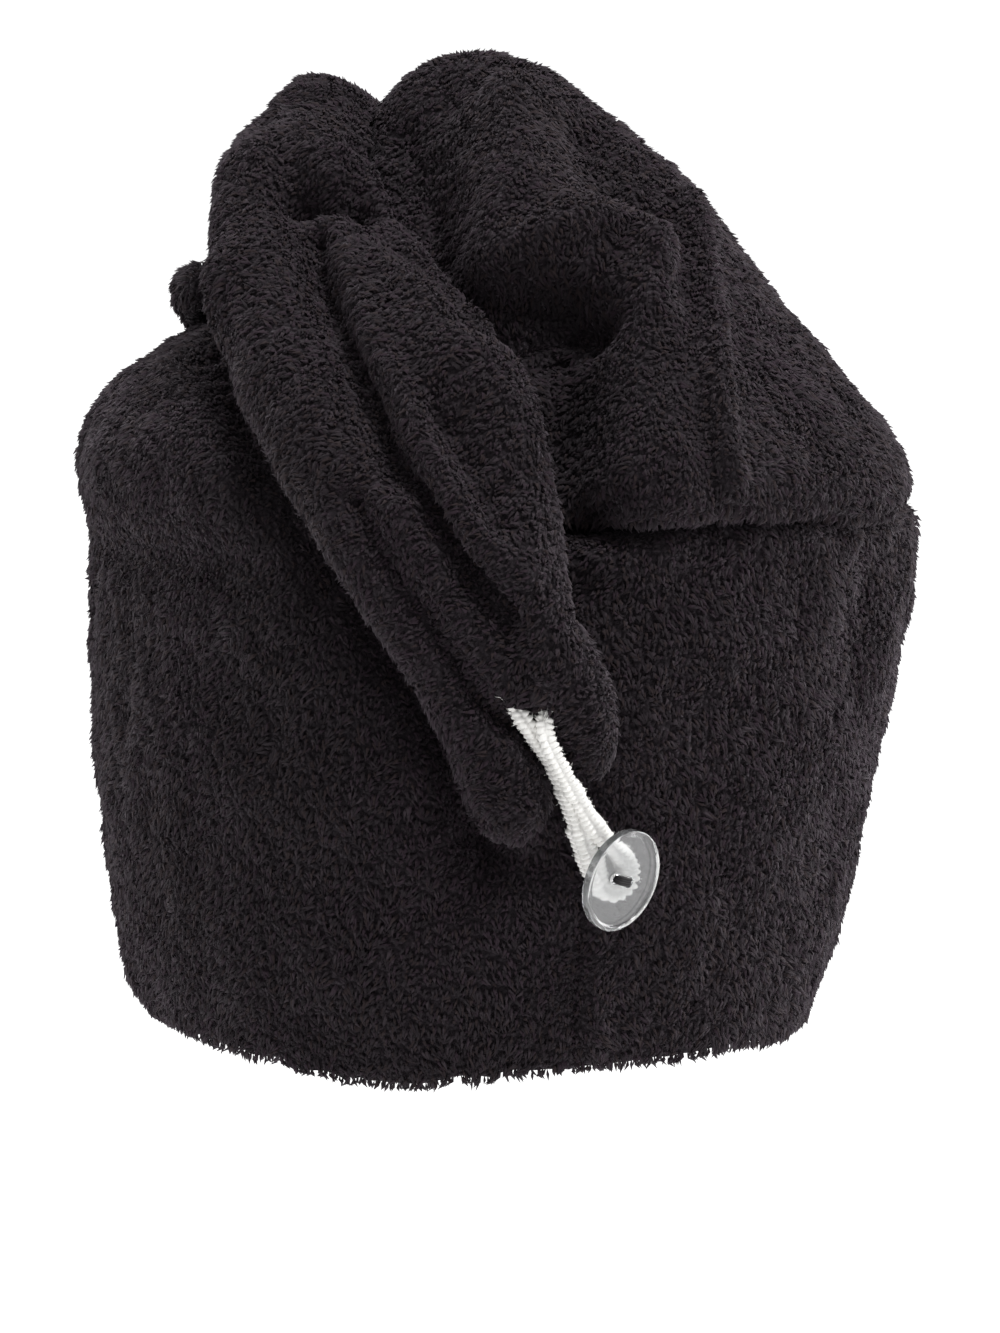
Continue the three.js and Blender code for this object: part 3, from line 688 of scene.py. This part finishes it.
def make_elastic(material):
    """The knitted elastic: a cord with tilted ribs and sharp valleys between them."""
    line, marks = even_line(np.array(ELASTIC_ROUTE) * MM, RIBS_STEP)
    turn = np.arange(ELASTIC_SIDES) * 2 * math.pi / ELASTIC_SIDES
    quarter = np.floor(turn / (math.pi / 2)) % 2
    phase = marks[:, None] / RIB_PITCH + RIB_TILT * np.sin(turn)[None] + 0.5 * quarter[None]
    rib = np.abs(np.sin(math.pi * phase)) ** 0.8
    strand = np.abs(np.sin(2 * turn))[None] ** 0.5
    uneven = (1 + 0.10 * soft_waves(line, 6 * MM, 81)[:, None]
              + 0.05 * soft_waves(line, 2 * MM, 82)[:, None])
    reach = np.minimum(marks, marks[-1] - marks) / (0.36 * marks[-1])
    drawn = ELASTIC_DRAWN + (1 - ELASTIC_DRAWN) * np.clip(reach, 0, 1)
    radii = (ELASTIC_CORE + RIB_HEIGHT * strand * (0.15 + 0.85 * rib)) * uneven * drawn[:, None]
    points, faces = swept(line, radii)
    right = np.array(camera_axes()[1])
    offset = points[:-2] - np.repeat(line, ELASTIC_SIDES, axis=0)
    points[:-2] += right * (offset @ right)[:, None] * (ELASTIC_SPREAD - 1)
    return mesh_piece("knitted_elastic", [(points, faces)], material)


def make_fuzz(elastic, material):
    """Short fibres off the elastic, and longer frayed threads where it leaves the tail."""
    random = np.random.default_rng(83)
    points, normals = points_of(elastic.data), normals_of(elastic.data)
    chosen = random.choice(len(points) - 2, FUZZ_COUNT, replace=False)
    starts, ways = [points[chosen]], [unit(normals[chosen] + random.normal(size=(FUZZ_COUNT, 3)) * 0.5)]
    lengths = [random.uniform(0.35, 1.0, FUZZ_COUNT) * MM]
    route = np.array(ELASTIC_ROUTE) * MM
    for mark, count in FRAYED:
        low = int(mark)
        place = route[low] + (route[low + 1] - route[low]) * (mark - low)
        along = unit(route[low + 1] - route[low]) * (1 if low > len(route) / 2 else -1)
        offset = random.normal(size=(count, 3)) * 0.8 * MM
        starts.append(place + offset + camera_back() * ELASTIC_CORE * 0.7)
        ways.append(unit(along + camera_back() * 0.45 + random.normal(size=(count, 3)) * 0.5))
        lengths.append(random.uniform(1.4, 3.2, count) * MM)
    starts, ways, lengths = np.vstack(starts), np.vstack(ways), np.concatenate(lengths)
    across = unit(np.cross(ways, random.normal(size=ways.shape)))
    second = np.cross(ways, across)
    radius = np.where(lengths > 1.3 * MM, 0.13 * MM, 0.06 * MM)[:, None]
    bend = across * lengths[:, None] * random.uniform(-0.25, 0.25, len(starts))[:, None]
    ring = [starts + ways * lengths[:, None] * 0.5 + bend
            + radius * (across * math.cos(turn) + second * math.sin(turn))
            for turn in (0, 2 * math.pi / 3, 4 * math.pi / 3)]
    tufts = np.stack([starts - ways * 0.2 * MM, *ring, starts + ways * lengths[:, None]], 1)
    return tuft_piece("elastic_fibres", tufts, np.zeros(len(tufts), int), [material])


def camera_back():
    return np.array(camera_axes()[0])


def across_holes():
    return (HOLE_LINE - BUTTON_FACE * HOLE_LINE.dot(BUTTON_FACE)).normalized()


def select_faces(shape, wanted):
    """Selects the faces of the mesh in edit mode that a rule picks."""
    for face in shape.faces:
        face.select_set(wanted(face))
    shape.select_flush(True)


def make_button(material):
    """A moulded disc: raised rim, shallow dish, soft edges and two holes."""
    bpy.ops.object.select_all(action="DESELECT")
    bpy.ops.mesh.primitive_cylinder_add(vertices=BUTTON_SIDES, radius=BUTTON_RADIUS,
                                        depth=BUTTON_THICKNESS, location=(0, 0, BUTTON_THICKNESS / 2))
    button = bpy.context.active_object
    button.name = "clear_button"
    bpy.ops.object.mode_set(mode="EDIT")
    bpy.ops.mesh.select_mode(type="FACE")
    bpy.ops.mesh.select_all(action="DESELECT")
    shape = bmesh.from_edit_mesh(button.data)
    select_faces(shape, lambda face: face.normal.z > 0.9)
    bmesh.update_edit_mesh(button.data)
    bpy.ops.mesh.inset(thickness=BUTTON_RIM)
    bpy.ops.mesh.inset(thickness=BUTTON_SLOPE)
    bpy.ops.transform.translate(value=(0, 0, -BUTTON_DISH))
    bpy.ops.object.mode_set(mode="OBJECT")
    cutters = []
    for side in (-1, 1):
        bpy.ops.mesh.primitive_cylinder_add(vertices=32, radius=HOLE_RADIUS, depth=6 * BUTTON_THICKNESS,
                                            location=(side * HOLE_REACH, 0, 0))
        cutter = bpy.context.active_object
        cutters.append(cutter)
        hole = button.modifiers.new("hole", "BOOLEAN")
        hole.operation = "DIFFERENCE"
        hole.solver = "EXACT"
        hole.object = cutter
    soft = button.modifiers.new("soft edges", "BEVEL")
    soft.width = BUTTON_EDGE
    soft.segments = 3
    soft.limit_method = "ANGLE"
    soft.angle_limit = math.radians(35)
    apply_modifiers(button)
    for cutter in cutters:
        bpy.data.objects.remove(cutter)
    active_only(button)
    bpy.ops.object.transform_apply(location=True, rotation=True, scale=True)
    second = BUTTON_FACE.cross(across_holes())
    for vertex in button.data.vertices:
        x, y, z = vertex.co
        vertex.co = BUTTON_BACK + across_holes() * x + second * y + BUTTON_FACE * z
    bpy.ops.object.shade_smooth()
    button.data.set_sharp_from_angle(angle=math.radians(40))
    flat = button.modifiers.new("even faces", "WEIGHTED_NORMAL")
    flat.keep_sharp = True
    apply_modifiers(button)
    button.data.materials.append(material)
    return button


def make_thread(material):
    """Black thread: strands over the face and behind it, through the holes, and a wound shank."""
    along, side = across_holes(), BUTTON_FACE.cross(across_holes())
    random = np.random.default_rng(84)
    parts = []

    def place(run, lift, shift):
        return BUTTON_BACK + along * run + BUTTON_FACE * lift + side * shift

    floor = BUTTON_THICKNESS - BUTTON_DISH
    for strand in range(STRANDS):
        shift = (strand - (STRANDS - 1) / 2) * 1.75 * STRAND_RADIUS
        over = floor + STRAND_RADIUS * random.uniform(1.1, 1.9)
        under = -STRAND_RADIUS * random.uniform(1.2, 2.4)
        reach = HOLE_REACH + random.uniform(-0.1, 0.25) * MM
        squeeze = shift * 0.6
        loop = [place(-reach, under, squeeze), place(-reach - 0.2 * MM, floor / 2, squeeze),
                place(-reach * 0.93, over, shift), place(0, over + 0.16 * MM, shift),
                place(reach * 0.93, over, shift), place(reach + 0.2 * MM, floor / 2, squeeze),
                place(reach, under, squeeze), place(0, under - 0.25 * MM, shift)]
        line = smooth_line([list(point) for point in loop + loop[:1]], 6)
        parts.append(swept(line, np.full((len(line), 10), STRAND_RADIUS)))
    axis = BUTTON_BACK - BUTTON_FACE * 1.2 * MM - SHANK_FOOT
    first = axis.cross(along).normalized()
    second = axis.normalized().cross(first)
    winding = []
    for step in range(SHANK_TURNS * STEPS_IN_TURN):
        turn = step * 2 * math.pi / STEPS_IN_TURN
        share = step / (SHANK_TURNS * STEPS_IN_TURN - 1)
        outward = (first * math.cos(turn) + second * math.sin(turn)) * SHANK_WINDING
        winding.append(list(SHANK_FOOT + axis * share + outward))
    parts.append(swept(winding, np.full((len(winding), 8), SHANK_THREAD)))
    core = [list(SHANK_FOOT + axis * share) for share in np.linspace(0, 1, 8)]
    parts.append(swept(core, np.full((8, 12), SHANK_CORE)))
    return mesh_piece("thread_strands", parts, material)


def plain_material(name, color, roughness, specular):
    material, nodes, links = new_material(name)
    surface = nodes["Principled BSDF"]
    surface.inputs["Base Color"].default_value = (*color, 1)
    surface.inputs["Roughness"].default_value = roughness
    surface.inputs["Specular IOR Level"].default_value = specular
    return material


def clear_plastic():
    """Slightly hazy clear plastic."""
    material = plain_material("hazy_clear_plastic", (0.90, 0.91, 0.92), 0.12, 0.5)
    surface = material.node_tree.nodes["Principled BSDF"]
    surface.inputs["Transmission Weight"].default_value = 0.972
    surface.inputs["IOR"].default_value = 1.46
    surface.inputs["Coat Weight"].default_value = 0.4
    surface.inputs["Coat Roughness"].default_value = 0.05
    return material


def new_material(name):
    material = bpy.data.materials.new(name)
    material.use_nodes = True
    return material, material.node_tree.nodes, material.node_tree.links


def pile_materials():
    """One matte material for each tone of the pile."""
    made = []
    for tone in PILE_TONES:
        material, nodes, links = new_material("pile_" + tone["name"])
        surface = nodes["Principled BSDF"]
        surface.inputs["Base Color"].default_value = (*tone["color"], 1)
        surface.inputs["Roughness"].default_value = 0.85
        surface.inputs["Specular IOR Level"].default_value = 0.2
        surface.inputs["Sheen Weight"].default_value = 0.10
        surface.inputs["Sheen Roughness"].default_value = 0.5
        surface.inputs["Sheen Tint"].default_value = SHEEN_TINT
        made.append(material)
    return made


def socket(node, kind, name, output=False):
    """A Mix node's socket of that kind, since it has several of the same name."""
    sockets = node.outputs if output else node.inputs
    return next(s for s in sockets if s.name == name and s.type == kind)


def terry_group():
    """The ground of the terry: rows of loops with painted shade between them, in patches of plum and
    brown.
    """
    group = bpy.data.node_groups.new("terry_ground", "ShaderNodeTree")
    group.interface.new_socket("Loop size", in_out="INPUT", socket_type="NodeSocketFloat")
    group.interface.new_socket("Painted shade colour", in_out="INPUT", socket_type="NodeSocketColor")
    group.interface.new_socket("Loop colour", in_out="INPUT", socket_type="NodeSocketColor")
    group.interface.new_socket("Patch colour", in_out="INPUT", socket_type="NodeSocketColor")
    group.interface.new_socket("Colour", in_out="OUTPUT", socket_type="NodeSocketColor")
    group.interface.new_socket("Height", in_out="OUTPUT", socket_type="NodeSocketFloat")
    nodes, links = group.nodes, group.links
    given = nodes.new("NodeGroupInput")
    result = nodes.new("NodeGroupOutput")
    place = nodes.new("ShaderNodeTexCoord")
    loops = nodes.new("ShaderNodeTexVoronoi")
    loops.feature = "SMOOTH_F1"
    loops.inputs["Smoothness"].default_value = 0.4
    links.new(place.outputs["Object"], loops.inputs["Vector"])
    links.new(given.outputs["Loop size"], loops.inputs["Scale"])
    patches = nodes.new("ShaderNodeTexNoise")
    patches.inputs["Scale"].default_value = 26
    patches.inputs["Detail"].default_value = 3
    links.new(place.outputs["Object"], patches.inputs["Vector"])
    depth = nodes.new("ShaderNodeMapRange")
    depth.inputs["From Min"].default_value = 0.15
    depth.inputs["From Max"].default_value = 0.75
    depth.inputs["To Min"].default_value = 1
    depth.inputs["To Max"].default_value = 0
    links.new(loops.outputs["Distance"], depth.inputs["Value"])
    patch_mix = nodes.new("ShaderNodeMix")
    patch_mix.data_type = "RGBA"
    spread = nodes.new("ShaderNodeMapRange")
    spread.inputs["From Min"].default_value = 0.4
    spread.inputs["From Max"].default_value = 0.62
    links.new(patches.outputs["Fac"], spread.inputs["Value"])
    links.new(spread.outputs["Result"], socket(patch_mix, "VALUE", "Factor"))
    links.new(given.outputs["Loop colour"], socket(patch_mix, "RGBA", "A"))
    links.new(given.outputs["Patch colour"], socket(patch_mix, "RGBA", "B"))
    # painted shade: the loops' colour goes to the painted shade colour where they sink
    loop_mix = nodes.new("ShaderNodeMix")
    loop_mix.data_type = "RGBA"
    links.new(depth.outputs["Result"], socket(loop_mix, "VALUE", "Factor"))
    links.new(given.outputs["Painted shade colour"], socket(loop_mix, "RGBA", "A"))
    links.new(socket(patch_mix, "RGBA", "Result", True), socket(loop_mix, "RGBA", "B"))
    links.new(socket(loop_mix, "RGBA", "Result", True), result.inputs["Colour"])
    links.new(depth.outputs["Result"], result.inputs["Height"])
    return group


def terry_material(group):
    material, nodes, links = new_material("terry_ground_cloth")
    surface = nodes["Principled BSDF"]
    ground = nodes.new("ShaderNodeGroup")
    ground.node_tree = group
    ground.inputs["Loop size"].default_value = GROUND_LOOPS
    ground.inputs["Painted shade colour"].default_value = GROUND_PAINTED_SHADE
    ground.inputs["Loop colour"].default_value = GROUND_LOOP
    ground.inputs["Patch colour"].default_value = GROUND_PATCH
    links.new(ground.outputs["Colour"], surface.inputs["Base Color"])
    bump = nodes.new("ShaderNodeBump")
    bump.inputs["Strength"].default_value = 1
    bump.inputs["Distance"].default_value = 0.9 * MM
    links.new(ground.outputs["Height"], bump.inputs["Height"])
    links.new(bump.outputs["Normal"], surface.inputs["Normal"])
    surface.inputs["Roughness"].default_value = 0.92
    surface.inputs["Specular IOR Level"].default_value = 0.2
    surface.inputs["Sheen Weight"].default_value = 0.12
    surface.inputs["Sheen Roughness"].default_value = 0.5
    surface.inputs["Sheen Tint"].default_value = SHEEN_TINT
    return material


def camera_axes():
    back = Vector((math.sin(CAMERA_AZIMUTH) * math.cos(CAMERA_ELEVATION),
                   -math.cos(CAMERA_AZIMUTH) * math.cos(CAMERA_ELEVATION),
                   math.sin(CAMERA_ELEVATION)))
    right = Vector((math.cos(CAMERA_AZIMUTH), math.sin(CAMERA_AZIMUTH), 0))
    return back, right, back.cross(right)


def make_camera():
    back = camera_axes()[0]
    data = bpy.data.cameras.new("camera")
    data.lens = CAMERA_LENS
    data.sensor_width = 36
    data.clip_start = 0.05
    data.clip_end = 60
    camera = bpy.data.objects.new("camera", data)
    camera.location = CAMERA_TARGET + back * CAMERA_DISTANCE
    camera.rotation_mode = "QUATERNION"
    camera.rotation_quaternion = (-back).to_track_quat("-Z", "Y")
    bpy.context.scene.collection.objects.link(camera)
    bpy.context.scene.camera = camera


def add_lamp(row):
    """A soft square lamp that looks at the turban."""
    back, right, up = camera_axes()
    data = bpy.data.lights.new(row["name"], "AREA")
    data.shape = "SQUARE"
    data.size = row["size"]
    data.energy = row["power"]
    lamp = bpy.data.objects.new(row["name"], data)
    lamp.location = CAMERA_TARGET + right * row["across"] + up * row["up"] + back * row["nearer"]
    lamp.rotation_mode = "QUATERNION"
    lamp.rotation_quaternion = (CAMERA_TARGET - lamp.location).to_track_quat("-Z", "Y")
    bpy.context.scene.collection.objects.link(lamp)


def make_studio():
    world = bpy.data.worlds.new("white_studio")
    world.use_nodes = True
    nodes, links = world.node_tree.nodes, world.node_tree.links
    path = nodes.new("ShaderNodeLightPath")
    strength = nodes.new("ShaderNodeMapRange")
    strength.inputs["To Min"].default_value = STUDIO_LIGHT
    strength.inputs["To Max"].default_value = 1.05
    links.new(path.outputs["Is Camera Ray"], strength.inputs["Value"])
    links.new(strength.outputs["Result"], nodes["Background"].inputs["Strength"])
    nodes["Background"].inputs["Color"].default_value = (1, 1, 1, 1)
    bpy.context.scene.world = world
    bpy.context.scene.view_settings.view_transform = "Standard"
    bpy.ops.mesh.primitive_circle_add(vertices=96, radius=30, fill_type="NGON",
                                      location=(0, 0, -0.45))
    floor = bpy.context.active_object
    floor.name = "floor"
    material, nodes, links = new_material("pale_floor")
    surface = nodes["Principled BSDF"]
    grain = nodes.new("ShaderNodeTexNoise")
    grain.inputs["Scale"].default_value = 3
    tint = nodes.new("ShaderNodeMapRange")
    tint.inputs["To Min"].default_value = 0.93
    tint.inputs["To Max"].default_value = 0.96
    links.new(grain.outputs["Fac"], tint.inputs["Value"])
    links.new(tint.outputs["Result"], surface.inputs["Base Color"])
    surface.inputs["Roughness"].default_value = 1
    surface.inputs["Specular IOR Level"].default_value = 0
    surface.inputs["Emission Color"].default_value = (1, 1, 1, 1)
    path = nodes.new("ShaderNodeLightPath")
    glow = nodes.new("ShaderNodeMapRange")
    glow.inputs["To Min"].default_value = 0.1
    glow.inputs["To Max"].default_value = 0.85
    links.new(path.outputs["Is Camera Ray"], glow.inputs["Value"])
    links.new(glow.outputs["Result"], surface.inputs["Emission Strength"])
    floor.data.materials.append(material)
    for lamp in LAMPS:
        add_lamp(lamp)


def ride_as(piece, node):
    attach(piece, "root")
    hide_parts(node)


make_camera()
make_studio()

terry = terry_material(terry_group())
cloths, pinched = {}, {}
for node, name in CLOTH_NODES.items():
    cloths[node], pinched[node] = make_cloth(node, name)
    cloths[node].data.materials.append(terry)
    ride_as(cloths[node], node)

trees = {node: tree_of(piece) for node, piece in cloths.items()}
faces = {}
for node, piece in cloths.items():
    points, normals, pinches, areas = triangles_of(piece.data, pinched[node])
    shown = open_faces(points, normals, node, trees)
    faces[node] = (points[shown], normals[shown], pinches[shown], areas[shown])
pile_area = sum(given[3].sum() for given in faces.values())
tones = pile_materials()
for seed, (node, given) in enumerate(faces.items(), 1):
    wanted = TUFTS_IN_ALL * given[3].sum() / pile_area
    places, ups, pinches = scatter(*given, wanted, seed)
    numbers = tone_numbers(places, painted_light_and_shade_share(places, node, trees[node]), 50)
    tufts, looks = tuft_shape(places, ups, pinches, PILE_FLOW[node], 60 + seed)
    order = np.argsort(np.arctan2(places[:, 0], places[:, 1]))
    parts = max(1, math.ceil(len(order) / TUFTS_PER_PIECE))
    for part, chosen in enumerate(np.array_split(order, parts), 1):
        piece = tuft_piece(f"{node}_pile_{part}", tufts[chosen], numbers[chosen], tones, looks[chosen])
        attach(piece, "root")

off_white = plain_material("off_white_elastic", (0.95, 0.94, 0.915), 0.85, 0.25)
elastic = make_elastic(off_white)
ride_as(elastic, "elastic_loop")
fuzz = make_fuzz(elastic, off_white)
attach(fuzz, "root")
ride_as(make_button(clear_plastic()), "button")
thread = make_thread(plain_material("dull_black_thread", (0.010, 0.009, 0.010), 0.7, 0.3))
ride_as(thread, "button_thread")
